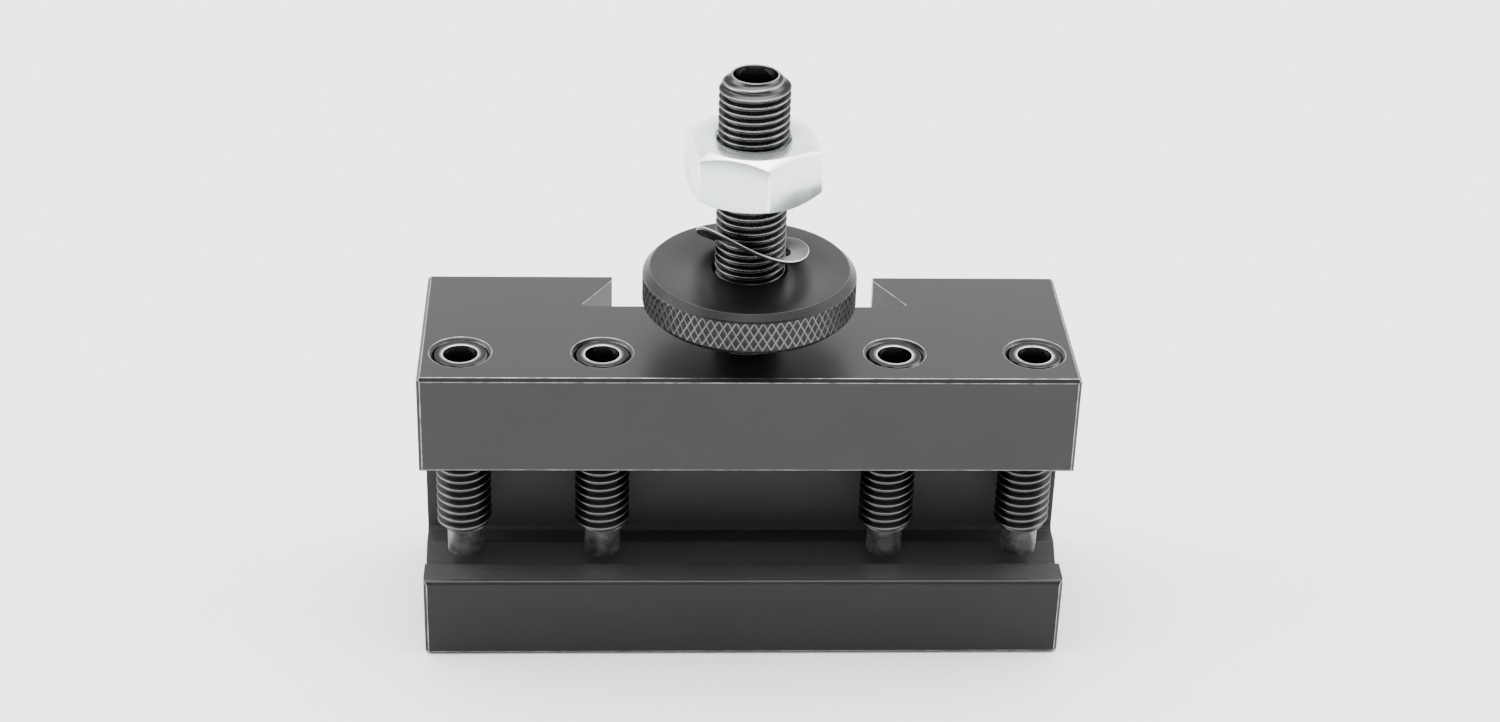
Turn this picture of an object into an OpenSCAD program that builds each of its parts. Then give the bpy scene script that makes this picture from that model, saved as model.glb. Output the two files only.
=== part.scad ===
// Quick change tool holder for a lathe, boring, turning and facing pattern.
// A steel block with an open tool slot at the front and a dovetail socket at the rear.
// Four dog-point screws clamp the tool. A knurled wheel on a stud sets the height.
// Frame: X along the block, Y from the slot side (-) to the dovetail side (+), Z up.
// The origin is the middle of the block's bottom face. Units are millimetres.

/* [Block] */
// Length of the block along the tool
body_length = 75; // [60:1:100]
// Depth of the block from slot side to dovetail side
body_depth = 25; // [22:0.5:34]
// Height of the lip under the tool
lip_height = 10.3; // [8:0.1:14]
// Height of the bar that holds the screws
bar_height = 12.2; // [10:0.1:16]
// Chamfer on the outer edges
edge_break = 0.4; // [0.2:0.05:1]

/* [Tool slot] */
// Height of the slot
slot_height = 15; // [12:0.1:20]
// Depth of the slot from the front face
slot_depth = 11.4; // [10:0.1:14]
// Width of the V-groove in the slot floor
groove_width = 4.8; // [3:0.1:6]
// Depth of the V-groove
groove_depth = 1.7; // [1:0.1:2.4]
// Fillet where the slot's rear wall meets its floor
slot_fillet = 0.5; // [0.2:0.1:1]
// Rounding of the lip's front edge
lip_round = 0.7; // [0.3:0.1:1.5]

/* [Dovetail] */
// Width of the dovetail's mouth in the rear face
dovetail_mouth = 31.2; // [26:0.1:38]
// Depth of the dovetail from the rear face
dovetail_depth = 7.7; // [6:0.1:9]
// Angle between the dovetail's flank and its floor, in degrees
dovetail_angle = 60; // [55:1:70]
// Straight land beside the mouth
dovetail_land = 1.2; // [0.6:0.1:2]
// Chamfer in the dovetail's inner corners
dovetail_corner = 0.5; // [0.2:0.1:1]

/* [Clamp screws] */
// Thread diameter of a clamp screw
screw_diameter = 6.35; // [5:0.05:7]
// Thread pitch of a clamp screw
screw_pitch = 1.06; // [0.5:0.01:1.25]
// Length of a clamp screw with its dog point
screw_length = 26.5; // [22:0.5:32]
// Diameter of the dog point
dog_diameter = 4.1; // [3:0.1:4.5]
// Length of the dog point
dog_length = 3.8; // [2:0.1:4]
// Hexagon socket of a clamp screw, across flats
screw_socket = 3.2; // [2.5:0.1:3.2]
// Depth of a clamp screw's socket
screw_socket_depth = 3.5; // [2:0.1:5]
// Distance of the screw row behind the front face
screw_row = 6.2; // [5:0.1:7]
// Distance of the outer screws from the block's ends
screw_end = 4.7; // [4.2:0.1:7]
// Distance from an outer screw to the next one
screw_spacing = 16.1; // [12:0.1:18]
// Gap from the dog point to the slot floor
screw_tip_gap = 0.5; // [0.2:0.1:8]

/* [Height stud] */
// Thread diameter of the stud
stud_diameter = 8; // [6:0.5:9]
// Thread pitch of the stud, wheel and nut
stud_pitch = 0.9; // [0.5:0.05:1.25]
// Length of the stud
stud_length = 45; // [44:1:60]
// Distance of the stud behind the front face
stud_row = 9.5; // [8:0.1:10.5]
// Gap from the stud's foot to the slot roof
stud_foot_gap = 0.3; // [0:0.1:2]
// Hexagon socket of the stud, across flats
stud_socket = 4; // [3:0.5:5]
// Depth of the stud's socket
stud_socket_depth = 4.5; // [3:0.1:6]

/* [Knurled wheel] */
// Diameter over the knurl
wheel_diameter = 24.4; // [20:0.1:26]
// Thickness of the wheel
wheel_thickness = 5; // [4:0.1:7]
// Gap from the block's top face to the wheel
wheel_lift = 4.4; // [1:0.1:6]
// Chamfer on the wheel's rims
wheel_chamfer = 0.8; // [0.3:0.1:1.2]

/* [Spring washer] */
// Outer diameter of the curved washer
washer_diameter = 13; // [12:0.1:16]
// Thickness of the washer's strip
washer_thickness = 0.4; // [0.4:0.1:1]
// Radius that the washer is curved to
washer_curve = 13.5; // [10:0.5:40]
// Tilt of the washer to the right, in degrees
washer_tilt = 11; // [0:1:14]
// Lean of the washer to the rear, in degrees
washer_lean = 20; // [0:1:22]
// Turn of the washer about the stud, in degrees
washer_turn = 34; // [0:1:180]

/* [Lock nut] */
// Nut across flats
nut_flats = 14; // [13:0.5:17]
// Height of the nut
nut_height = 6.5; // [4:0.1:8]
// Gap from the wheel's top to the nut
nut_gap = 9.9; // [8:0.1:10]
// Turn of the nut about the stud, in degrees
nut_turn = 40; // [0:1:60]

/* [Clearances] */
// Radial clearance of the turning threads
thread_clearance = 0.05; // [0.02:0.01:0.1]
// Radial clearance of the stud in its hole
stud_clearance = 0.02; // [0.01:0.01:0.05]
// Radial clearance of the washer's hole on the stud
washer_clearance = 0.5; // [0.3:0.05:0.8]
// Radial clearance that the tilted washer keeps from the stud
washer_stud_gap = 0.2; // [0.1:0.05:0.3]
// Gap from the wheel's top to the washer
washer_gap = 0.1; // [0.05:0.05:0.5]

/* [Hidden] */

// Small cut so that a subtraction leaves no skin
over = 1;
round_steps = 6;
smooth = 96;

front_y = -body_depth / 2;
rear_y = body_depth / 2;
slot_roof = lip_height + slot_height;
body_height = slot_roof + bar_height;
slot_wall_y = front_y + slot_depth;
slot_edge = 0.3;

screw_y = front_y + screw_row;
outer_x = body_length / 2 - screw_end;
screw_x = [-outer_x, -outer_x + screw_spacing, outer_x - screw_spacing, outer_x];
screw_tip_z = lip_height + screw_tip_gap;
hole_chamfer = 0.35;
// Depth of a thread as a share of its pitch
thread_depth = 0.61;
screw_foot_chamfer = thread_depth * screw_pitch;
screw_top_chamfer = 0.25;
stud_foot_chamfer = thread_depth * stud_pitch;
stud_top_chamfer = 2.4 * stud_foot_chamfer;
socket_chamfer = 0.3;

stud_y = front_y + stud_row;
stud_foot_z = slot_roof + stud_foot_gap;
wheel_z = body_height + wheel_lift;
wheel_top = wheel_z + wheel_thickness;
nut_z = wheel_top + nut_gap;

// The curved washer rests on the lowest point of its rim
washer_radius = washer_diameter / 2;
function rim_rise(a) =
    let (x = washer_radius * cos(a), y = washer_radius * sin(a),
         z = washer_curve - sqrt(pow(washer_curve, 2) - pow(x, 2)),
         across = x * cos(washer_turn) - y * sin(washer_turn),
         along = x * sin(washer_turn) + y * cos(washer_turn))
    (z * cos(washer_tilt) - across * sin(washer_tilt)) * cos(washer_lean)
        - along * sin(washer_lean);
washer_z = wheel_top + washer_gap - min([for (a = [0:2:358]) rim_rise(a)]);

// Outline of the block seen along its length, in Y and Z
function lip_arc() = [for (i = [0:round_steps])
    let (a = 90 + 90 * i / round_steps)
    [front_y + lip_round + lip_round * cos(a), lip_height - lip_round + lip_round * sin(a)]];

function block_outline() = concat(
    [[front_y + edge_break, 0], [rear_y - edge_break, 0], [rear_y, edge_break],
     [rear_y, body_height - edge_break], [rear_y - edge_break, body_height],
     [front_y + edge_break, body_height], [front_y, body_height - edge_break],
     [front_y, slot_roof + slot_edge], [front_y + slot_edge, slot_roof],
     [slot_wall_y, slot_roof],
     [slot_wall_y, lip_height + slot_fillet], [slot_wall_y - slot_fillet, lip_height],
     [screw_y + groove_width / 2, lip_height], [screw_y, lip_height - groove_depth],
     [screw_y - groove_width / 2, lip_height]],
    lip_arc(),
    [[front_y, edge_break]]);

// Rectangle with its corners cut, centred on the origin
module cut_rectangle(w, h, cut) {
    polygon([[-w / 2 + cut, -h / 2], [w / 2 - cut, -h / 2], [w / 2, -h / 2 + cut],
             [w / 2, h / 2 - cut], [w / 2 - cut, h / 2], [-w / 2 + cut, h / 2],
             [-w / 2, h / 2 - cut], [-w / 2, -h / 2 + cut]]);
}

// Half of the dovetail socket's outline, from the mouth inwards, on the +X side
module dovetail_outline() {
    mouth = dovetail_mouth / 2;
    flank = dovetail_depth - dovetail_land;
    inner = mouth + flank / tan(dovetail_angle);
    floor_y = rear_y - dovetail_depth;
    corner_x = dovetail_corner / tan(dovetail_angle);
    half = [[mouth, rear_y + over], [mouth, rear_y - dovetail_land],
            [inner - corner_x, floor_y + dovetail_corner], [inner - corner_x - dovetail_corner, floor_y]];
    polygon(concat(half, [for (i = [len(half) - 1:-1:0]) [-half[i][0], half[i][1]]]));
}

// Tapped hole through the bar, with a chamfered mouth in the top face
module bar_hole(x, y, r) {
    translate([x, y, slot_roof - over])
        cylinder(h = bar_height + 2 * over, r = r, $fn = smooth);
    translate([x, y, body_height - hole_chamfer])
        cylinder(h = hole_chamfer + over, r1 = r, r2 = r + hole_chamfer + over, $fn = smooth);
}

module holder_body() {
    color([0.24, 0.245, 0.25])
    difference() {
        intersection() {
            rotate([90, 0, 90])
                linear_extrude(height = body_length, center = true) polygon(block_outline());
            linear_extrude(height = body_height)
                cut_rectangle(body_length, body_depth, edge_break);
            translate([0, 0, body_height / 2]) rotate([90, 0, 0])
                linear_extrude(height = body_depth, center = true)
                    cut_rectangle(body_length, body_height, edge_break);
        }
        translate([0, 0, -over])
            linear_extrude(height = body_height + 2 * over) dovetail_outline();
        for (x = screw_x) bar_hole(x, screw_y, screw_diameter / 2 + thread_clearance);
        bar_hole(0, stud_y, stud_diameter / 2 + stud_clearance);
    }
}

// Hexagon socket sunk from z = top, with a countersunk mouth
module hex_socket(top, flats, depth) {
    corner = flats / 2 / cos(30);
    translate([0, 0, top - depth]) cylinder(h = depth + over, r = corner, $fn = 6);
    translate([0, 0, top - socket_chamfer])
        cylinder(h = socket_chamfer + over, r1 = corner, r2 = corner + socket_chamfer + over,
                 $fn = smooth);
}

// Threaded rod with chamfered ends, foot at z = 0
module rod(length, r, top_cut, foot_cut) {
    rotate_extrude($fn = smooth)
        polygon([[0, 0], [r - foot_cut, 0], [r, foot_cut], [r, length - top_cut],
                 [r - top_cut, length], [0, length]]);
}

module height_stud() {
    color([0.12, 0.12, 0.12])
    translate([0, stud_y, stud_foot_z])
    difference() {
        rod(stud_length, stud_diameter / 2, stud_top_chamfer, stud_foot_chamfer);
        hex_socket(stud_length, stud_socket, stud_socket_depth);
    }
}

module clamp_screw(i) {
    color([0.14, 0.14, 0.14])
    translate([screw_x[i], screw_y, screw_tip_z])
    difference() {
        union() {
            translate([0, 0, dog_length])
                rod(screw_length - dog_length, screw_diameter / 2, screw_top_chamfer,
                    screw_foot_chamfer);
            rod(dog_length + over, dog_diameter / 2, 0, socket_chamfer);
        }
        hex_socket(screw_length, screw_socket, screw_socket_depth);
    }
}

module height_wheel() {
    r = wheel_diameter / 2;
    bore = stud_diameter / 2 + thread_clearance;
    mouth = bore + wheel_chamfer / 2;
    color([0.2, 0.2, 0.2])
    translate([0, stud_y, wheel_z])
        rotate_extrude($fn = smooth)
            polygon([[bore, wheel_chamfer / 2], [mouth, 0], [r - wheel_chamfer, 0],
                     [r, wheel_chamfer], [r, wheel_thickness - wheel_chamfer],
                     [r - wheel_chamfer, wheel_thickness], [mouth, wheel_thickness],
                     [bore, wheel_thickness - wheel_chamfer / 2]]);
}

module spring_washer() {
    color([0.22, 0.22, 0.22])
    translate([0, stud_y, washer_z])
    difference() {
        rotate([-washer_lean, 0, 0]) rotate([0, washer_tilt, 0]) rotate([0, 0, washer_turn])
        intersection() {
            translate([0, 0, -washer_radius])
            difference() {
                cylinder(h = washer_diameter, r = washer_radius, $fn = smooth);
                translate([0, 0, -over])
                    cylinder(h = washer_diameter + 2 * over,
                             r = stud_diameter / 2 + washer_clearance, $fn = smooth);
            }
            translate([0, 0, washer_curve]) rotate([90, 0, 0])
            difference() {
                cylinder(h = 2 * washer_diameter, r = washer_curve, center = true, $fn = smooth);
                cylinder(h = 3 * washer_diameter, r = washer_curve - washer_thickness,
                         center = true, $fn = smooth);
            }
        }
        cylinder(h = 2 * washer_diameter, r = stud_diameter / 2 + washer_stud_gap,
                 center = true, $fn = smooth);
    }
}

module lock_nut() {
    corner = nut_flats / 2 / cos(30);
    // A 30 degree chamfer takes the corners off both faces of the hexagon
    face = nut_flats / 2 * 0.95;
    drop = (corner - face) * tan(30);
    bore = stud_diameter / 2 + thread_clearance;
    mouth = bore + wheel_chamfer / 2;
    color([0.86, 0.88, 0.88])
    translate([0, stud_y, nut_z])
    intersection() {
        rotate([0, 0, nut_turn]) cylinder(h = nut_height, r = corner, $fn = 6);
        rotate_extrude($fn = smooth)
            polygon([[bore, wheel_chamfer / 2], [mouth, 0], [face, 0], [corner, drop],
                     [corner, nut_height - drop], [face, nut_height], [mouth, nut_height],
                     [bore, nut_height - wheel_chamfer / 2]]);
    }
}

holder_body();
height_stud();
clamp_screw(0);  // clamp_screw_1
clamp_screw(1);  // clamp_screw_2
clamp_screw(2);  // clamp_screw_3
clamp_screw(3);  // clamp_screw_4
height_wheel();
spring_washer();
lock_nut();
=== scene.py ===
# %% [markdown]
# # A quick change tool holder for a lathe
# The real object is a small black steel block. A tool lies in the slot at its front, four
# set screws press on the tool, and a dovetail at the back hooks onto a tool post. A knurled
# wheel on a long stud decides how high the block hangs.
# The CAD model already has the true sizes, so this lesson only makes the looks. It starts
# by loading that model. Every piece made here takes its place from the model's boxes.

# %% Load the CAD model
import math

import bmesh
import bpy
import numpy as np
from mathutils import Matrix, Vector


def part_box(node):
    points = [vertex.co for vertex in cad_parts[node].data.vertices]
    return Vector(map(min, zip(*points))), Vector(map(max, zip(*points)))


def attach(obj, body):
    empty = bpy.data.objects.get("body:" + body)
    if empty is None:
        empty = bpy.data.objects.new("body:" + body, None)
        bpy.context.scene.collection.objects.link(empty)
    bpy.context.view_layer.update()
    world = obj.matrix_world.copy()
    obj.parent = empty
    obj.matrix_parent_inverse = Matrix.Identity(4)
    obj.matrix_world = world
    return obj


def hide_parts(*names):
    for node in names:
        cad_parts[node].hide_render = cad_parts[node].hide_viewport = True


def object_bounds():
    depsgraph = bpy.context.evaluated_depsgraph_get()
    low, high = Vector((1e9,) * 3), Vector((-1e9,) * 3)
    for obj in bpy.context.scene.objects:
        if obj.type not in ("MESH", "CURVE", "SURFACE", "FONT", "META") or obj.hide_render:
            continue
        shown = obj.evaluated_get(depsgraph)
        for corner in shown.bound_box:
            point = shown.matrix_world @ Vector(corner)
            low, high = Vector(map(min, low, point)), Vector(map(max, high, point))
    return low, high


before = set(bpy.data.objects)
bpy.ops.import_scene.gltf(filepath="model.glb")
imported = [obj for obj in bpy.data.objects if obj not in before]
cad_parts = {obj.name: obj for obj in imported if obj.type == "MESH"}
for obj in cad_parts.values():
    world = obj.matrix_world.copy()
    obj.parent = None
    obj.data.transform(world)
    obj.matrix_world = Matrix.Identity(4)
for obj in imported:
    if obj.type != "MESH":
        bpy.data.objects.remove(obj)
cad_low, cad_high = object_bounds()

MM = 0.001
print("CAD box in mm:", [round(v / MM, 2) for v in (*cad_low, *cad_high)])

# %% [markdown]
# ## Where each piece is
# A box from the model gives the axis, the foot, the top and the radius of a round piece. It
# could be typed in by hand, but then a changed model would leave the looks behind.

# %% Read a piece's place
def place_of(node):
    """Axis (x, y), lowest z, highest z and radius of an upright round CAD piece."""
    low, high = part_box(node)
    return (low.x + high.x) / 2, (low.y + high.y) / 2, low.z, high.z, (high.x - low.x) / 2


body_low, body_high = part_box("holder_body")
stud_x, stud_y, stud_foot, stud_top, stud_radius = place_of("height_stud")
wheel_x, wheel_y, wheel_foot, wheel_top, wheel_radius = place_of("height_wheel")
nut_foot, nut_top = place_of("lock_nut")[2:4]
print("stud radius %.2f mm, wheel radius %.2f mm" % (stud_radius / MM, wheel_radius / MM))

# %% [markdown]
# ## From a grid of points to a mesh
# Every turned piece here is a skin of rows. A row is a ring of points round the axis, one
# for each column of angles, and the rows run from the foot of the piece to its top.
# One could spin a drawn outline instead, but a spin can't hold a thread, a knurl or a
# hexagon. A grid can, because the radius may depend on the angle as well as on the height.
# Points that fall together, at a pole or where a thread runs out, are merged at the end, and
# that also closes the seam.

# %% Turn rows of points into a closed skin
def put_in_scene(name, data):
    """An object for a mesh or a camera, at the origin."""
    thing = bpy.data.objects.new(name, data)
    bpy.context.scene.collection.objects.link(thing)
    return thing


MERGE = 1e-7


def skin(name, points, marks):
    """A mesh object from points, an array of rows by columns by (x, y, z). Each cell of the
    grid is one face. marks gives one number for each point, kept as the attribute "crest":
    0 where the coat is whole, 1 and more where it is rubbed off and where a highlight is
    painted, and less than 0 where shade is painted almost black. Points closer than MERGE
    metres become one, so seams and poles close."""
    rows, columns = points.shape[:2]
    index = np.arange(rows * columns).reshape(rows, columns)
    faces = np.stack([index[:-1, :-1], index[:-1, 1:], index[1:, 1:], index[1:, :-1]], -1)
    mesh = bpy.data.meshes.new(name)
    mesh.from_pydata(points.reshape(-1, 3).tolist(), [], faces.reshape(-1, 4).tolist())
    crest = mesh.attributes.new("crest", "FLOAT", "POINT")
    crest.data.foreach_set("value", marks.astype(np.float32).ravel())
    work = bmesh.new()
    work.from_mesh(mesh)
    bmesh.ops.remove_doubles(work, verts=work.verts, dist=MERGE)
    bmesh.ops.recalc_face_normals(work, faces=work.faces)
    work.to_mesh(mesh)
    open_edges = sum(not e.is_manifold for e in work.edges)
    work.free()
    mesh.shade_smooth()
    print("%s: %d faces, %d open edges" % (name, len(mesh.polygons), open_edges))
    return put_in_scene(name, mesh)


def ring(angle, z, radius):
    """One row: a point at each angle, at height z and at that radius. Both may vary."""
    z, radius = np.broadcast_to(z, angle.shape), np.broadcast_to(radius, angle.shape)
    return np.stack([radius * np.cos(angle), radius * np.sin(angle), z], -1)


def rings(angle, pairs):
    """Several rows from a list of (z, radius)."""
    return np.stack([ring(angle, z, radius) for z, radius in pairs])


def even_angles(columns):
    """Angles of a full turn, with the first one repeated at the end."""
    return np.linspace(0, 2 * np.pi, columns + 1)

# %% [markdown]
# ## A real thread
# A screw thread is a ridge that climbs round the rod like a spiral stair. A cheap thread is
# a stack of rings, but the rings don't climb, and at the ends of the rod it shows. Here each
# row follows the helix, so that the crest and the root lie exactly on rows of points. Heights
# past the ends of the rod are pulled back to the end, and a cone cuts the crests there, as a
# lathe does when it chamfers a screw.

# %% Rows that climb with the thread
CREST_FLAT = 0.06
ROOT_FLAT = 0.12
FADE = 0.3
FADE_LENGTH = 0.4 * MM
RUN_OUT = 0.15 * MM
STATIONS = np.array([-0.085, -0.06, -0.02, 0.02, 0.06, 0.085, 0.22, 0.36, 0.40, 0.5, 0.60,
                     0.64, 0.78])


def thread_rows(angle, radius, pitch, depth, foot, top, foot_cut, top_cut):
    """Rows of a right-hand thread, and how near each point is to the crest. STATIONS are
    the places of the rows within one turn, closest at the crest's and the root's edges.
    Height is the pitch times (turns + angle over a full turn). Radius is the crest's, less
    the depth times how far the point has slid from the crest to the root, and never more
    than the 45 degree cones at both ends. On the top cone a trace of the thread runs on,
    FADE of its depth, and dies out over the last FADE_LENGTH. The thread itself runs out
    over the last RUN_OUT, so that all rows past the end meet in one round rim."""
    first, last = np.floor(foot / pitch) - 2, np.ceil(top / pitch) + 1
    turns = (np.arange(first, last)[:, None] + STATIONS[None, :]).ravel()[:, None]
    from_crest = np.abs((turns + 0.5) % 1 - 0.5)
    slide = np.clip((from_crest - CREST_FLAT) / (0.5 - CREST_FLAT - ROOT_FLAT), 0, 1)
    z = np.clip(pitch * (turns + angle[None, :] / (2 * np.pi)), foot, top)
    trace = FADE * depth * slide * np.clip((top - z) / FADE_LENGTH, 0, 1)
    cone = np.minimum(radius - foot_cut + (z - foot), radius - top_cut + (top - z) - trace)
    slide = slide * np.clip((top - z) / RUN_OUT, 0, 1)
    r = np.minimum(radius - depth * slide, cone)
    points = np.stack([r * np.cos(angle), r * np.sin(angle), z], -1)
    return points, np.broadcast_to(1 - slide, r.shape)

# %% [markdown]
# ## The hexagon socket
# A set screw is turned by a key in a six-sided hole. It could be cut with a boolean, which
# leaves long thin faces. Instead the rows simply carry on from the top face down into the
# hole. There the radius follows a hexagon, and the countersink meets it on one wavy row.

# %% Rows of a socket
def hexagon(angle, flats):
    """Radius of a hexagon of that width across flats, with a corner at angle 0: half the
    width over the cosine of the angle from the nearest flat's middle."""
    return flats / 2 / np.cos(angle % (np.pi / 3) - np.pi / 6)


def socket_rows(angle, top, flats, depth, countersink):
    """Rows from the socket's mouth in the top face down to its drilled bottom, and a mark
    of 1 on the mouth, which the key rubs bright, and -1 on the slope within it, where shade
    is painted almost black."""
    rim = flats / 2 / math.cos(math.pi / 6) + countersink
    wall = hexagon(angle, flats)
    meet = top - (rim - wall)
    soft = 0.04 * MM
    rows = rings(angle, [
        (top, rim + soft), (top - soft / 3, rim), (top - soft, rim - soft),
        (meet + soft, wall + soft), (meet - soft, wall),
        (top - depth / 2, wall), (top - depth + soft, wall), (top - depth, wall - soft),
        (top - depth, flats * 0.46), (top - depth - flats * 0.25, 0)])
    rubbed = np.zeros(rows.shape[:2])
    rubbed[:2] = 1
    # The slope within the mouth is marked -1 for painted shade, drawn almost black.
    rubbed[2:4] = -1
    return rows, rubbed


def to_axis(points, x, y):
    """The same points, moved to an upright axis at x, y."""
    return points + np.array([x, y, 0])

# %% [markdown]
# ## The height stud
# The stud is a long set screw that stands in the block. Its thread is fine, its top end has
# a wide chamfer, and a key fits in the top. It could be a rod with rings pressed into it, but
# the recipe for threads is there already. So one skin runs from the foot up the thread, over
# the flat end and down into the socket, and it has no joints to hide.

# %% Make the stud
STUD_PITCH = 0.9 * MM
STUD_FOOT_CUT = 0.65 * MM
STUD_TOP_CUT = 1.3 * MM
STUD_SOCKET = 4.0 * MM
STUD_SOCKET_DEPTH = 4.5 * MM
STUD_END_MARK = 1.2
THREAD_DEPTH = 0.61
print("the stud's thread has %.1f turns" % ((stud_top - stud_foot) / STUD_PITCH))


def plain_rows(angle, pairs):
    """Rows from (z, radius) pairs, and a mark of 0 for each point."""
    rows = rings(angle, pairs)
    return rows, np.zeros(rows.shape[:2])


angle = even_angles(96)
thread, crest = thread_rows(angle, stud_radius, STUD_PITCH, THREAD_DEPTH * STUD_PITCH,
                            stud_foot, stud_top, STUD_FOOT_CUT, STUD_TOP_CUT)
foot, foot_crest = plain_rows(
    angle, [(stud_foot, 0), (stud_foot, stud_radius - STUD_FOOT_CUT - 0.1 * MM)])
land, land_crest = plain_rows(angle, [(stud_top, stud_radius - STUD_TOP_CUT - 0.03 * MM)])
mouth, mouth_crest = socket_rows(angle, stud_top, STUD_SOCKET, STUD_SOCKET_DEPTH, 0.2 * MM)
height_stud = skin("stud_threaded",
                   to_axis(np.concatenate([foot, thread, land, mouth]), stud_x, stud_y),
                   np.concatenate([foot_crest, crest, land_crest + STUD_END_MARK,
                                   mouth_crest * STUD_END_MARK]))
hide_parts("height_stud")
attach(height_stud, "holder")

# %% [markdown]
# ## The four clamp screws
# Each is a shorter set screw with a plain pin, called a dog point, at its foot. The pin
# presses on the tool without marking it. One screw could be made and copied three times,
# but a copy would sit away from the origin. So one recipe makes all four in place, and each
# rides on its own body, because each is turned by itself.

# %% Make the clamp screws
SCREW_PITCH = 1.06 * MM
SCREW_SOCKET = 3.2 * MM
DOG_RADIUS = 2.05 * MM
DOG_LENGTH = 3.8 * MM
SCREW_FOOT_CUT = 0.65 * MM
SCREW_TOP_CUT = 0.25 * MM
SCREW_SOCKET_DEPTH = 3.5 * MM
DOG_CHAMFER = 0.3 * MM
DOG_MARK = 1.3
HEAD_MARK = 1.4
HEAD_COAT = 0.5


def clamp_screw(number):
    """One set screw: dog point, thread, top chamfer and socket."""
    node = "clamp_screw_%d" % number
    x, y, foot_z, top_z, radius = place_of(node)
    round_angles = even_angles(72)
    soft = 0.05 * MM
    shoulder = foot_z + DOG_LENGTH
    dog, dog_mark = plain_rows(round_angles, [
        (foot_z, 0), (foot_z, DOG_RADIUS - DOG_CHAMFER - soft),
        (foot_z + soft, DOG_RADIUS - DOG_CHAMFER), (foot_z + DOG_CHAMFER, DOG_RADIUS - soft),
        (foot_z + DOG_CHAMFER + soft, DOG_RADIUS),
        (shoulder - soft, DOG_RADIUS), (shoulder, DOG_RADIUS + soft)])
    climb, climb_mark = thread_rows(round_angles, radius, SCREW_PITCH, THREAD_DEPTH * SCREW_PITCH,
                                    shoulder, top_z, SCREW_FOOT_CUT, SCREW_TOP_CUT)
    rim, rim_mark = plain_rows(round_angles, [(top_z, radius - SCREW_TOP_CUT - soft),
                                              (top_z, radius - SCREW_TOP_CUT - 5 * soft)])
    hole, hole_mark = socket_rows(round_angles, top_z, SCREW_SOCKET, SCREW_SOCKET_DEPTH,
                                  0.15 * MM)
    piece = skin("clamp_screw_threaded_%d" % number,
                 to_axis(np.concatenate([dog, climb, rim, hole]), x, y),
                 np.concatenate([dog_mark + DOG_MARK, climb_mark, rim_mark + HEAD_COAT,
                                 hole_mark * HEAD_MARK]))
    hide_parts(node)
    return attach(piece, "screw_%d" % number)


clamp_screws = [clamp_screw(number) for number in (1, 2, 3, 4)]

# %% [markdown]
# ## The knurled wheel
# The rim is pressed between two hardened rollers, which leave crossing ridges and small
# pits between them. A bump texture could fake it, but the outline would stay smooth. Here
# the grid's columns and rows divide the pattern evenly, so both sets of ridges run exactly
# from corner to corner of the cells and stay sharp. Near the chamfers, cut after the
# rolling, the pits run out.

# %% Make the wheel
KNURL_STARTS = 78
KNURL_STEPS = 12
KNURL_DEPTH = 0.18 * MM
KNURL_RUN_OUT = 0.35 * MM
KNURL_LEAN = math.radians(30)
WHEEL_CHAMFER = 0.8 * MM
CHAMFER_MARK = 0.72
BORE_GAP = 0.05 * MM
BORE_CHAMFER = 0.4 * MM


print("the knurl has %d ridges each way, leaning by %d degrees"
      % (KNURL_STARTS, round(math.degrees(KNURL_LEAN))))


def to_ridge(position):
    """How near a place is to its nearest ridge, from 0 midway to 1 on it."""
    return 2 * np.abs(position % 1 - 0.5)


wheel_angle = even_angles(KNURL_STARTS * KNURL_STEPS)
across = 2 * math.pi * wheel_radius / KNURL_STARTS
along = across / math.tan(KNURL_LEAN)
knurl_z = np.arange(wheel_foot, wheel_top + along / KNURL_STEPS, along / KNURL_STEPS)
knurl_z = np.minimum(knurl_z, wheel_top)[:, None]
step_u = KNURL_STARTS * wheel_angle[None, :] / (2 * np.pi)
step_v = (knurl_z - wheel_foot) / along
ridges = np.maximum(to_ridge(step_u + step_v), to_ridge(step_u - step_v))
inset = np.minimum(knurl_z - wheel_foot, wheel_top - knurl_z) - WHEEL_CHAMFER
pits = KNURL_DEPTH * (1 - ridges) * np.clip(inset / KNURL_RUN_OUT, 0.3, 1)
cone = wheel_radius + inset
knurl_r = np.minimum(wheel_radius - pits, cone)
knurl = np.stack([knurl_r * np.cos(wheel_angle), knurl_r * np.sin(wheel_angle),
                  np.broadcast_to(knurl_z, knurl_r.shape)], -1)
bore = stud_radius + BORE_GAP
mouth_r = bore + BORE_CHAMFER
rim_r = wheel_radius - WHEEL_CHAMFER
soft = 0.06 * MM
under = [(wheel_top - BORE_CHAMFER, bore), (wheel_foot + BORE_CHAMFER, bore),
         (wheel_foot + soft, mouth_r - soft), (wheel_foot, mouth_r + soft),
         (wheel_foot, rim_r - soft)]
above = [(wheel_top, rim_r - soft), (wheel_top, rim_r - 2 * soft),
         (wheel_top, mouth_r + soft), (wheel_top - soft, mouth_r - soft),
         (wheel_top - BORE_CHAMFER, bore)]
under_rows, under_mark = plain_rows(wheel_angle, under)
above_rows, above_mark = plain_rows(wheel_angle, above)
# The top rim's first row and the knurl's ridges are marked bright: wear and a painted highlight.
above_mark[0] = 1
knurl_mark = np.where(cone < knurl_r + 1e-9, CHAMFER_MARK, ridges)
height_wheel = skin("wheel_knurled",
                    to_axis(np.concatenate([under_rows, knurl, above_rows]), wheel_x, wheel_y),
                    np.concatenate([under_mark, knurl_mark, above_mark]))
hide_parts("height_wheel")
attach(height_wheel, "wheel")

# %% [markdown]
# ## The curved washer
# The washer is a flat ring, bent over a cylinder so that it springs. It lies on the wheel at
# a slant, held up by the stud. A modifier could bend a flat ring, but then the gap to the
# stud would be left to luck. Here the ring's section is carried round a circle, the whole is
# bent, turned and tilted by formula, and the hole is opened until the stud passes.

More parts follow.
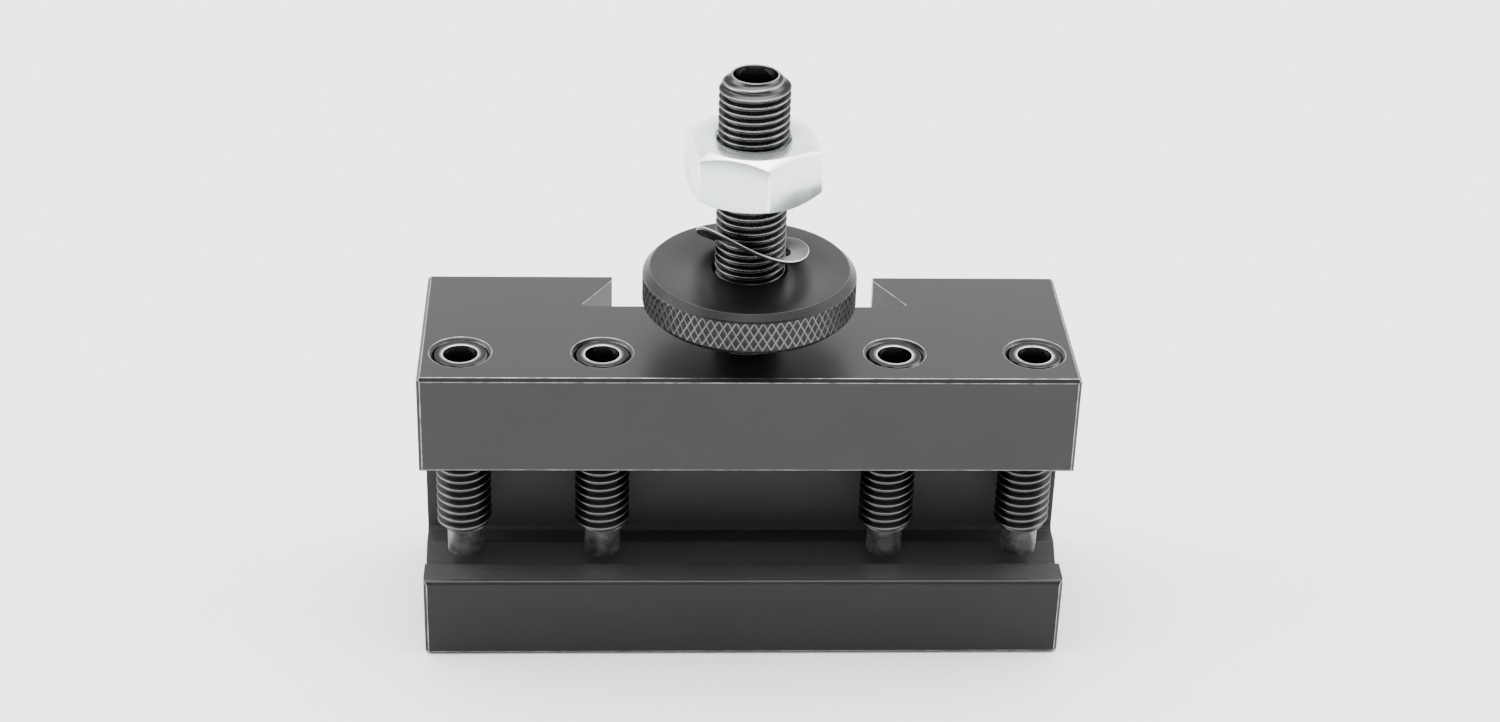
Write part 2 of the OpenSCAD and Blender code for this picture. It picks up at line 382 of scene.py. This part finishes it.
# %% Make the washer
WASHER_OUTER = 6.5 * MM
WASHER_INNER = 4.5 * MM
WASHER_THICK = 0.4 * MM
WASHER_CURVE = 13.5 * MM
WASHER_TILT = math.radians(11)
WASHER_LEAN = math.radians(20)
WASHER_TURN = math.radians(34)
STUD_GAP = 0.2 * MM
RIM_ROWS = slice(5, 7)


def rotated(first, second, turn):
    """Two coordinates turned from the first axis towards the second."""
    return (first * math.cos(turn) - second * math.sin(turn),
            first * math.sin(turn) + second * math.cos(turn))


def bent_ring(angle, radius, share):
    """Points of the strip: height is the curve's radius less the root of its square less x
    squared, then the ring is turned about the stud, tilted to the right and leaned to the
    rear. share says how far a point lies between the outer face of the bend and the inner."""
    x, y = radius * np.cos(angle), radius * np.sin(angle)
    z = WASHER_CURVE - np.sqrt((WASHER_CURVE - share * WASHER_THICK) ** 2 - x ** 2)
    x, y = rotated(x, y, WASHER_TURN)
    z, x = rotated(z, x, WASHER_TILT)
    z, y = rotated(z, y, WASHER_LEAN)
    return np.stack([x, y, z], -1)


def washer_points(angle):
    """The ring's section at every angle. Where the tilted hole would come nearer to the stud
    than STUD_GAP, its radius grows by the ratio that is missing, a few times over."""
    soft = 0.07 * MM
    section = [(WASHER_INNER, 0.25), (WASHER_INNER + soft, 0), (WASHER_OUTER - soft, 0),
               (WASHER_OUTER, 0.2), (WASHER_OUTER, 0.6), (WASHER_OUTER, 0.8),
               (WASHER_OUTER - soft, 1), (WASHER_OUTER - 1.5 * soft, 1),
               (WASHER_INNER + soft, 1), (WASHER_INNER, 0.75), (WASHER_INNER, 0.25)]
    radius, share = (np.array(column)[:, None] for column in zip(*section))
    radius = np.broadcast_to(radius, (len(section), len(angle)))
    for step in range(6):
        reach = np.hypot(*np.moveaxis(bent_ring(angle, radius, share)[..., :2], -1, 0))
        radius = radius * np.maximum(1, (stud_radius + STUD_GAP) / reach)
    return bent_ring(angle, radius, share)


ring_points = to_axis(washer_points(even_angles(96)), stud_x, stud_y)
ring_points[..., 2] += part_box("spring_washer")[0].z - ring_points[..., 2].min()
rim_mark = np.zeros(ring_points.shape[:2])
# The upper rim rows are marked for a painted highlight.
rim_mark[RIM_ROWS] = 1
spring_washer = skin("washer_curved", ring_points, rim_mark)
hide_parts("spring_washer")
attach(spring_washer, "washer")

# %% [markdown]
# ## The lock nut
# A hexagon nut is cut from bar and turned on both faces at 30 degrees, which leaves the
# curved edges where the cone meets the flats. A prism and a cone could be intersected, but
# the curve would come out in ragged triangles. Here each column knows at which height the
# cone meets its flat, so one row follows that curve exactly. Columns crowd towards the
# corners, where a small rounding catches the light.

# %% Make the nut
NUT_FLATS = 14 * MM
NUT_TURN = math.radians(40)
CORNER_SHARE = 0.997
FACE_SHARE = 0.95
side_steps = np.array([-1, -0.992, -0.975, -0.94, -0.8, -0.6, -0.4, -0.2, 0, 0.2, 0.4, 0.6,
                       0.8, 0.94, 0.975, 0.992])
side_angles = np.arctan(side_steps * math.tan(math.pi / 6))
nut_angle = ((np.arange(6)[:, None] + 0.5) * np.pi / 3 + side_angles[None, :]).ravel()
nut_angle = np.append(nut_angle, nut_angle[0] + 2 * np.pi)
flat = hexagon(nut_angle, NUT_FLATS)
blunt = CORNER_SHARE * NUT_FLATS / 2 / math.cos(math.pi / 6)
flat = np.where(flat > blunt, blunt, flat)
face = NUT_FLATS / 2 * FACE_SHARE
drop = (flat - face) * math.tan(math.pi / 6)
soft = 0.06 * MM
low_rows = [(nut_foot + BORE_CHAMFER, bore), (nut_foot + soft, mouth_r - soft),
            (nut_foot, mouth_r + soft), (nut_foot, face - soft),
            (nut_foot + soft * 0.6, face + soft), (nut_foot + drop - soft * 0.6, flat - soft),
            (nut_foot + drop + soft, flat)]
high_rows = [(nut_top - (z - nut_foot), r) for z, r in low_rows[::-1]]
nut_rows = rings(nut_angle, low_rows + high_rows + low_rows[:1])
turned = nut_angle + NUT_TURN
radii = np.hypot(nut_rows[..., 0], nut_rows[..., 1])
nut_rows = np.stack([radii * np.cos(turned), radii * np.sin(turned), nut_rows[..., 2]], -1)
SIDE_ROWS, CONE_ROWS = slice(5, 9), [3, 4, 5, 8, 9, 10]
on_corner = np.append(np.tile(np.abs(side_steps) > 0.97, 6), True)
nut_mark = np.zeros(nut_rows.shape[:2])
# Corners and chamfer rings are marked white: a painted highlight.
nut_mark[SIDE_ROWS] = on_corner
nut_mark[CONE_ROWS] = 1
lock_nut = skin("nut_hexagon", to_axis(nut_rows, stud_x, stud_y), nut_mark)
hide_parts("lock_nut")
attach(lock_nut, "nut")

# %% [markdown]
# ## The block
# The block's shape is right already. What it lacks is soft edges: no real edge is perfectly
# sharp, and the thin line of light along each edge is what makes steel look like steel.
# Each edge could be rounded in the CAD model, but that would slow it for nothing. So the
# CAD mesh is copied, its loose triangles are merged, and a Bevel modifier rounds every edge
# by a tenth of a millimetre. The rounded strips get a finish of their own, because
# that is where the black coat wears first, and their brighter grey is also a painted
# highlight along each edge. Where the rounding of two edges meets, points
# may all but touch, so a Weld modifier joins them. A last modifier lets the wide faces rule
# the normals, so that they stay flat and only the strips bend the light.

# %% Copy the block and round its edges
EDGE_ROUND = 0.1 * MM
CORNER_MERGE = 0.001 * MM
LIP_HEIGHT = 10.3 * MM
SLOT_LOW = (body_low.x, body_low.y + 0.6 * MM, body_low.z + 8.4 * MM)
SLOT_HIGH = (body_high.x, body_low.y + 11.45 * MM, body_low.z + 25.35 * MM)
CHAMFER_REACH = 0.45 * MM
SQUARE_ON = 0.95
GROUND, EDGE_WEAR_AND_HIGHLIGHT, CHAMFER_SHADED, MILLED, LIP_SHADED = range(5)


def finish_index(mesh):
    """Which finish each face gets. A chamfer is slanted and lies near two outer sides of the
    block, the slot's faces are milled, and the lip's front is the front below the slot. The
    chamfers and the lip's front get painted shade."""
    count = len(mesh.polygons)
    centre, normal = np.empty((count, 3)), np.empty((count, 3))
    mesh.polygons.foreach_get("center", centre.ravel())
    mesh.polygons.foreach_get("normal", normal.ravel())
    low, high = np.array(body_low), np.array(body_high)
    near = np.minimum(np.abs(centre - low), np.abs(centre - high)) < CHAMFER_REACH
    chamfer = (near.sum(1) >= 2) & (np.abs(normal).max(1) < SQUARE_ON)
    milled = np.all((centre > SLOT_LOW) & (centre < SLOT_HIGH), 1)
    lip = (normal[:, 1] < -SQUARE_ON) & (centre[:, 2] < low[2] + LIP_HEIGHT)
    return np.select([chamfer, milled, lip], [CHAMFER_SHADED, MILLED, LIP_SHADED], GROUND)


def rounded_copy(node, name):
    """The CAD mesh, merged, with its flat faces joined and its edges rounded."""
    work = bmesh.new()
    work.from_mesh(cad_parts[node].data)
    bmesh.ops.remove_doubles(work, verts=work.verts, dist=2e-6)
    bmesh.ops.dissolve_limit(work, angle_limit=math.radians(0.5), verts=work.verts,
                             edges=work.edges)
    bmesh.ops.recalc_face_normals(work, faces=work.faces)
    mesh = bpy.data.meshes.new(name)
    work.to_mesh(mesh)
    work.free()
    mesh.materials.clear()
    mesh.shade_smooth()
    mesh.polygons.foreach_set("material_index", finish_index(mesh).astype(np.int32))
    piece = put_in_scene(name, mesh)
    edges = piece.modifiers.new("soft edges", "BEVEL")
    edges.width = EDGE_ROUND
    edges.segments = 2
    edges.limit_method = "ANGLE"
    edges.angle_limit = math.radians(28)
    # The strips take a finish of wear and a painted highlight along each edge.
    edges.material = EDGE_WEAR_AND_HIGHLIGHT
    corners = piece.modifiers.new("joined corners", "WELD")
    corners.merge_threshold = CORNER_MERGE
    even = piece.modifiers.new("even normals", "WEIGHTED_NORMAL")
    even.weight = 100
    print("%s: %d faces before rounding" % (name, len(mesh.polygons)))
    return piece


block = rounded_copy("holder_body", "block_edged")
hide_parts("holder_body")
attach(block, "holder")

# %% [markdown]
# ## Writing materials as sums
# A material is a net of nodes. Wired by hand it takes ten lines for a simple sum, so a small
# class lets Python's own signs add the Math nodes, and one method puts in any other node.
# Every pattern reads Object coordinates or the mark on the points, so it stays on its piece
# when the piece moves.

# %% A class for sockets and a class for finishes
class Wire:
    """One socket of a net. Python's signs on it add Math nodes."""

    def __init__(self, net, socket):
        self.net, self.socket = net, socket

    def math(self, operation, *values):
        return self.net.add("ShaderNodeMath", {"operation": operation}, dict(enumerate(values)))

    def __add__(self, other):
        return self.math("ADD", self, other)

    __radd__ = __add__

    def __sub__(self, other):
        return self.math("SUBTRACT", self, other)

    def __rsub__(self, other):
        return self.math("SUBTRACT", other, self)

    def __mul__(self, other):
        return self.math("MULTIPLY", self, other)

    __rmul__ = __mul__

    def __gt__(self, other):
        return self.math("GREATER_THAN", self, other)

    def __lt__(self, other):
        return self.math("LESS_THAN", self, other)

    def clip(self):
        """The value held between 0 and 1."""
        return self.net.add("ShaderNodeClamp", {}, {"Value": self})


class Net:
    """A tree of shader nodes."""

    def __init__(self, tree):
        self.tree = tree

    def add(self, kind, settings, inputs, output=0):
        """A new node: its settings first, then its inputs, numbers or wires. Gives a wire."""
        node = self.tree.nodes.new(kind)
        for setting, value in settings.items():
            if setting == "stops":
                for stop in value[2:]:
                    node.color_ramp.elements.new(stop[0])
                for element, (place, colour) in zip(node.color_ramp.elements, value):
                    element.position, element.color = place, (*colour, 1)
            else:
                setattr(node, setting, value)
        for socket, value in inputs.items():
            if isinstance(value, Wire):
                self.tree.links.new(value.socket, node.inputs[socket])
            else:
                node.inputs[socket].default_value = value
        return Wire(self, node.outputs[output])

    def split(self, vector):
        """The three coordinates of a vector."""
        return [self.add("ShaderNodeSeparateXYZ", {}, {"Vector": vector}, axis)
                for axis in range(3)]


class Finish(Net):
    """A material with one Principled shader. Constants go on the shader's own sockets."""

    def __init__(self, name, **constants):
        self.material = bpy.data.materials.new(name)
        self.material.use_nodes = True
        super().__init__(self.material.node_tree)
        self.shader = self.tree.nodes["Principled BSDF"]
        for socket, value in constants.items():
            self.shader.inputs[socket.replace("_", " ")].default_value = value

    def feed(self, **wires):
        """Links wires to the shader's sockets."""
        for socket, wire in wires.items():
            self.tree.links.new(wire.socket, self.shader.inputs[socket.replace("_", " ")])

    def place(self):
        """Object coordinates, in metres."""
        return self.add("ShaderNodeTexCoord", {}, {}, "Object")

    def inside(self, low, high):
        """1 between two corners of a box and 0 outside it."""
        mask = 1.0
        for coordinate, least, most in zip(self.split(self.place()), low, high):
            mask = mask * (coordinate > least) * (coordinate < most)
        return mask

    def crest(self):
        """The mark that skin() keeps on each point."""
        return self.add("ShaderNodeAttribute", {"attribute_name": "crest"}, {}, "Fac")

    def noise(self, scale, detail, stretch=(1, 1, 1)):
        """Noise whose grain is 1 / scale metres, drawn out along the axes of small stretch."""
        where = self.add("ShaderNodeMapping", {}, {"Vector": self.place(), "Scale": stretch})
        return self.add("ShaderNodeTexNoise", {}, {"Vector": where, "Scale": scale,
                                                   "Detail": detail, "Roughness": 0.6})

    def ramp(self, wire, *stops):
        """Colours by value, from (place, colour) stops."""
        return self.add("ShaderNodeValToRGB", {"stops": stops}, {"Fac": wire})

    def blend(self, factor, first, second):
        """A colour between two, by factor."""
        return self.add("ShaderNodeMix", {"data_type": "RGBA"},
                        {"Factor": factor, 6: first, 7: second}, 2)

    def bump(self, height, distance, strength):
        """A normal that tilts as if the surface rose by height times distance."""
        return self.add("ShaderNodeBump", {}, {"Height": height, "Distance": distance,
                                               "Strength": strength})


def grey(value):
    """A neutral colour."""
    return (value, value, value)


def colour(red, green, blue):
    """A colour for a socket."""
    return (red, green, blue, 1)

# %% [markdown]
# ## Black oxide on steel
# The block is milled, ground on its outer faces and then blackened in a hot salt bath. The
# coat is only a thousandth of a millimetre thick, so the grinding lines still show through
# it, and it shines softly like graphite. The lines run along the block. An image of brushed
# steel would show where it repeats, so a noise that is drawn out along X draws them. A
# second, broad noise makes the coat a little uneven. The slot is only milled, so it is
# rougher and darker, and the chamfers are filed, so they are rougher; the chamfers and the
# lip's front below the slot are also painted darker, as shade. One function makes all four
# finishes, because they are the same steel and the same bath.

# %% Finishes of the block's faces
def block_finish(name, shade, rough, line_scale, metal=0.85, gloss=0.5):
    """Ground or cut steel in black oxide. shade scales its brightness, rough is its mean
    roughness, line_scale sets how fine the lines of the tool are, and metal and gloss are
    less where the coat is thick and matt."""
    finish = Finish(name, Metallic=metal, IOR=1.6, Specular_IOR_Level=gloss)
    lines = finish.noise(line_scale, 2.0, (0.02, 1, 1))
    fine = finish.noise(9000, 2.0)
    cloud = finish.noise(90, 4.0)
    tone = (lines - 0.5) * 0.35 + (cloud - 0.5) * 0.5 + 0.5
    dark, light = [tuple(shade * part for part in parts)
                   for parts in ((0.025, 0.0255, 0.0268), (0.034, 0.0348, 0.036))]
    finish.feed(
        Base_Color=finish.ramp(tone, (0.25, dark), (0.75, light)),
        Roughness=rough + (cloud - 0.5) * 0.16 + (fine - 0.5) * 0.1,
        Normal=finish.bump(lines * 0.6 + fine * 0.4, 0.004 * MM, 0.6))
    return finish.material


def edge_wear_and_highlight_finish():
    """Edges where handling has thinned the coat, in patches, painted brighter also as a
    highlight along each edge. In the slot they stay dark.
    """
    finish = Finish("black_oxide_edge_wear_and_highlight", Metallic=1.0)
    patches = finish.noise(700, 3.0)
    milled = finish.inside(SLOT_LOW, SLOT_HIGH)
    worn = finish.ramp(patches, (0.35, grey(0.14)), (0.65, (0.4, 0.4, 0.41)))
    finish.feed(
        Base_Color=finish.blend(milled, worn, colour(0.05, 0.05, 0.05)),
        Roughness=0.3 + patches * 0.15 + milled * 0.1)
    return finish.material


block_finishes = {
    GROUND: block_finish("black_oxide_ground", 1.0, 0.36, 5200),
    EDGE_WEAR_AND_HIGHLIGHT: edge_wear_and_highlight_finish(),
    # Painted shade: the chamfers are drawn at 0.4 of the ground finish's brightness.
    CHAMFER_SHADED: block_finish("black_oxide_chamfer_painted_shade", 0.4, 0.4, 5200),
    MILLED: block_finish("black_oxide_milled", 1.1, 0.5, 1800, 0.1, 0.12),
    # Painted shade: the lip's front is drawn at 0.6 of the ground finish's brightness.
    LIP_SHADED: block_finish("black_oxide_lip_painted_shade", 0.6, 0.38, 5200)}
for index in sorted(block_finishes):
    block.data.materials.append(block_finishes[index])
print("block:", [material.name for material in block.data.materials])

# %% [markdown]
# ## Oiled black screws
# The screws are hardened, blackened and oiled, so they are darker and glossier than the
# block. Handling polishes the crests of the thread, and their brighter grey is also a
# painted highlight. Blender can guess such edges from the mesh, but not in an exported
# model. So the "crest" mark on each point tells the finish where to let the bare steel
# through and paint the highlight, and where to paint shade almost black on the slope
# within a socket.

# %% Finish of the screws and the stud
POLISHED_FROM = 0.72


def screw_finish(name, dark, rubbed, bare, rough):
    """Oiled black steel. dark, rubbed and bare are its greys in the roots, on the crests and
    where a key or a tool has worn it, and rough is its mean roughness. The crests' grey is
    wear and a painted highlight, and where the mark is below 0 shade is painted almost black."""
    finish = Finish(name, Metallic=1.0, Specular_Tint=colour(0.4, 0.4, 0.4))
    crest = finish.crest()
    rub = finish.noise(900, 3.0)
    # Wear and painted highlight: crests and rubbed places are drawn brighter.
    worn = ((crest - POLISHED_FROM) * 1.8 * (rub * 0.8 + 0.4)).clip()
    steel = finish.ramp(worn, (0.0, grey(dark)), (0.5, grey(rubbed)), (1.0, grey(bare)))
    # Where the mark is below 0, shade is painted almost black.
    finish.feed(
        Base_Color=finish.blend((crest * -1).clip(), steel, colour(0.008, 0.008, 0.008)),
        Roughness=rough + (rub - 0.5) * 0.16,
        Normal=finish.bump(finish.noise(6000, 2.0), 0.003 * MM, 0.4))
    return finish.material


height_stud.data.materials.append(screw_finish("black_oxide_stud", 0.05, 0.24, 0.6, 0.27))
clamp_finish = screw_finish("black_oxide_screw", 0.055, 0.16, 0.85, 0.32)
for piece in clamp_screws:
    piece.data.materials.append(clamp_finish)
print("screws:", height_stud.data.materials[0].name, "and", clamp_finish.name)

# %% [markdown]
# ## The wheel's finish
# The wheel is turned on a lathe, so its faces have fine rings round the axis. An image of
# rings would need a UV map. A noise that reads only the distance from the axis makes the
# same rings without one. The ridges of the knurl are rubbed bright by fingers, and a thin
# line round the top rim is worn bright; both are also painted highlights.

# %% Finish of the wheel
RUBBED_FROM = 0.75


def wheel_finish():
    """Turned steel in black oxide. Grey by a broad noise, bare where the mark passes
    RUBBED_FROM, which is wear and a painted highlight on the knurl's ridges and the top rim,
    and roughness and bump by noise over the distance from the axis."""
    finish = Finish("black_oxide_turned", Metallic=0.95)
    crest = finish.crest()
    where = finish.add("ShaderNodeMapping", {}, {
        "Vector": finish.place(), "Location": (-wheel_x, -wheel_y, 0), "Scale": (1, 1, 0)})
    reach = finish.add("ShaderNodeVectorMath", {"operation": "LENGTH"}, {0: where}, "Value")
    rings_of_tool = finish.add("ShaderNodeTexNoise", {"noise_dimensions": "1D"},
                               {"W": reach * 9000, "Scale": 1.0, "Detail": 2.0})
    cloud = finish.noise(250, 4.0)
    # Past RUBBED_FROM the colour turns bare grey: wear and a painted highlight.
    worn = ((crest - RUBBED_FROM) * 4 * (cloud + 0.2)).clip()
    finish.feed(
        Base_Color=finish.blend(worn, finish.ramp(cloud, (0.3, grey(0.018)), (0.7, grey(0.027))),
                                colour(0.21, 0.21, 0.21)),
        Roughness=0.38 + (rings_of_tool - 0.5) * 0.12 + (cloud - 0.5) * 0.1,
        Normal=finish.bump(rings_of_tool, 0.004 * MM, 0.5))
    return finish.material


height_wheel.data.materials.append(wheel_finish())
print("wheel:", height_wheel.data.materials[0].name)

# %% [markdown]
# ## Spring steel and zinc
# The washer is dark spring steel with a bright rim, which is a painted highlight. The nut is zinc
# plated: almost white, with a faint cool cast and soft crystal patches. A plain pale metal
# would do for the nut from afar, but the patches and the white edges, a painted highlight,
# keep it from looking like plastic.

# %% Finish of the washer and the nut
def washer_finish():
    """Dark spring steel, with a highlight painted along its upper rim."""
    finish = Finish("spring_steel_dark", Metallic=1.0)
    cloud = finish.noise(600, 3.0)
    face = finish.ramp(cloud, (0.3, grey(0.011)), (0.7, grey(0.019)))
    finish.feed(Base_Color=finish.blend(finish.crest().clip(), face, colour(0.5, 0.5, 0.5)),
                Roughness=0.28 + cloud * 0.14,
                Normal=finish.bump(finish.noise(5000, 2.0), 0.003 * MM, 0.4))
    return finish.material


def nut_finish():
    """Zinc plate: two pale tints by a noise drawn out upwards, and whiter edges and chamfer
    rings, a painted highlight.
    """
    finish = Finish("zinc_plate", Metallic=0.9)
    cloud = finish.noise(350, 4.0, (1, 1, 0.35))
    fine = finish.noise(4000, 2.0)
    plate = finish.ramp(cloud, (0.25, (0.67, 0.76, 0.75)), (0.75, (0.8, 0.88, 0.87)))
    finish.feed(Base_Color=finish.blend(finish.crest().clip(), plate, colour(1, 1, 1)),
                Roughness=0.26 + (cloud - 0.5) * 0.14,
                Normal=finish.bump(fine, 0.004 * MM, 0.4))
    return finish.material


spring_washer.data.materials.append(washer_finish())
lock_nut.data.materials.append(nut_finish())
print("washer and nut:", spring_washer.data.materials[0].name, lock_nut.data.materials[0].name)

# %% [markdown]
# ## Floor, light and camera
# Black steel shows what it mirrors more than what falls on it. So the room is drawn whole,
# as brightness by direction, and no lamp is needed: a large soft box overhead, one high on
# each side, a pale band low at the back, and a darker ceiling in front. A slope or a rim
# lights up where it mirrors a box, as in a light tent.

# %% Floor
def plain_floor(size):
    """A flat square as wide as size, a hair under the object."""
    steps = np.linspace(-size / 2, size / 2, 2)
    x, y = np.meshgrid(steps, steps)
    points = np.stack([x, y, np.full_like(x, cad_low.z - 0.02 * MM)], -1)
    mesh = bpy.data.meshes.new("floor")
    mesh.from_pydata(points.reshape(-1, 3).tolist(), [], [(0, 1, 3, 2)])
    sheet = put_in_scene("floor", mesh)
    return sheet


FLOOR_SIZE = 6.0
floor = plain_floor(FLOOR_SIZE)
floor_finish = Finish("floor_pale", Roughness=0.6, Specular_IOR_Level=0.3)
floor_finish.shader.inputs["Base Color"].default_value = (0.92, 0.92, 0.92, 1)
floor.data.materials.append(floor_finish.material)

# %% Room with soft boxes
world = bpy.data.worlds.new("studio")
bpy.context.scene.world = world
world.use_nodes = True
room = Net(world.node_tree)
toward = room.split(room.add("ShaderNodeTexCoord", {}, {}, "Generated"))


def soft_box(side, height, spread, blur, power):
    """Brightness of a round soft box. side is its direction round the room in degrees, 0 at
    the right and 90 at the back, and height its angle above the floor. It is full within
    spread degrees of its middle and fades out over blur degrees more."""
    side, height, spread, blur = (math.radians(v) for v in (side, height, spread, blur))
    axis = (math.cos(height) * math.cos(side), math.cos(height) * math.sin(side),
            math.sin(height))
    near = sum(part * share for part, share in zip(toward, axis))
    edge, full = math.cos(spread + blur), math.cos(spread)
    return ((near - edge) * (1 / (full - edge))).clip() * power


back_band = (toward[1] * 0.7 + 0.3).clip() * (1.3 - toward[2] * 1.3).clip()
light = (0.7 + back_band * 2.45 + soft_box(90, 86, 16, 24, 8.2)
         + soft_box(180, 22, 10, 24, 7.0) + soft_box(0, 22, 10, 24, 5.4))
# The steady first part lights everything a little, and the band lights the back.
background = world.node_tree.nodes["Background"]
background.inputs["Color"].default_value = (1, 1, 1, 1)
world.node_tree.links.new(light.socket, background.inputs["Strength"])

# %% [markdown]
# The camera stands in front, a little to the left, and looks down by about 30 degrees, with
# a long lens, as for a catalogue, and leans by less than two degrees. It could be aimed by a
# constraint, but three angles say the same and need no second object.

# %% Camera
CAMERA_PLACE = (-15.75 * MM, -284.63 * MM, 194.16 * MM)
LOOK_SIDE = math.radians(3.27)
LOOK_DOWN = math.radians(29.50)
LEAN = math.radians(1.76)
LENS = 67.3

from mathutils import Matrix, Vector

lens = bpy.data.cameras.new("camera")
lens.sensor_width, lens.lens = 36, LENS
lens.clip_start, lens.clip_end = 0.01, 20
camera = put_in_scene("camera", lens)
look = Vector((math.sin(LOOK_SIDE) * math.cos(LOOK_DOWN),
               math.cos(LOOK_SIDE) * math.cos(LOOK_DOWN), -math.sin(LOOK_DOWN)))
turn = look.to_track_quat("-Z", "Y").to_matrix() @ Matrix.Rotation(LEAN, 3, "Z")
camera.rotation_mode = "QUATERNION"
camera.location = CAMERA_PLACE
camera.rotation_quaternion = turn.to_quaternion()
bpy.context.scene.camera = camera
print("camera %.0f mm from the block, lens %.1f mm" % (Vector(CAMERA_PLACE).length / MM, LENS))
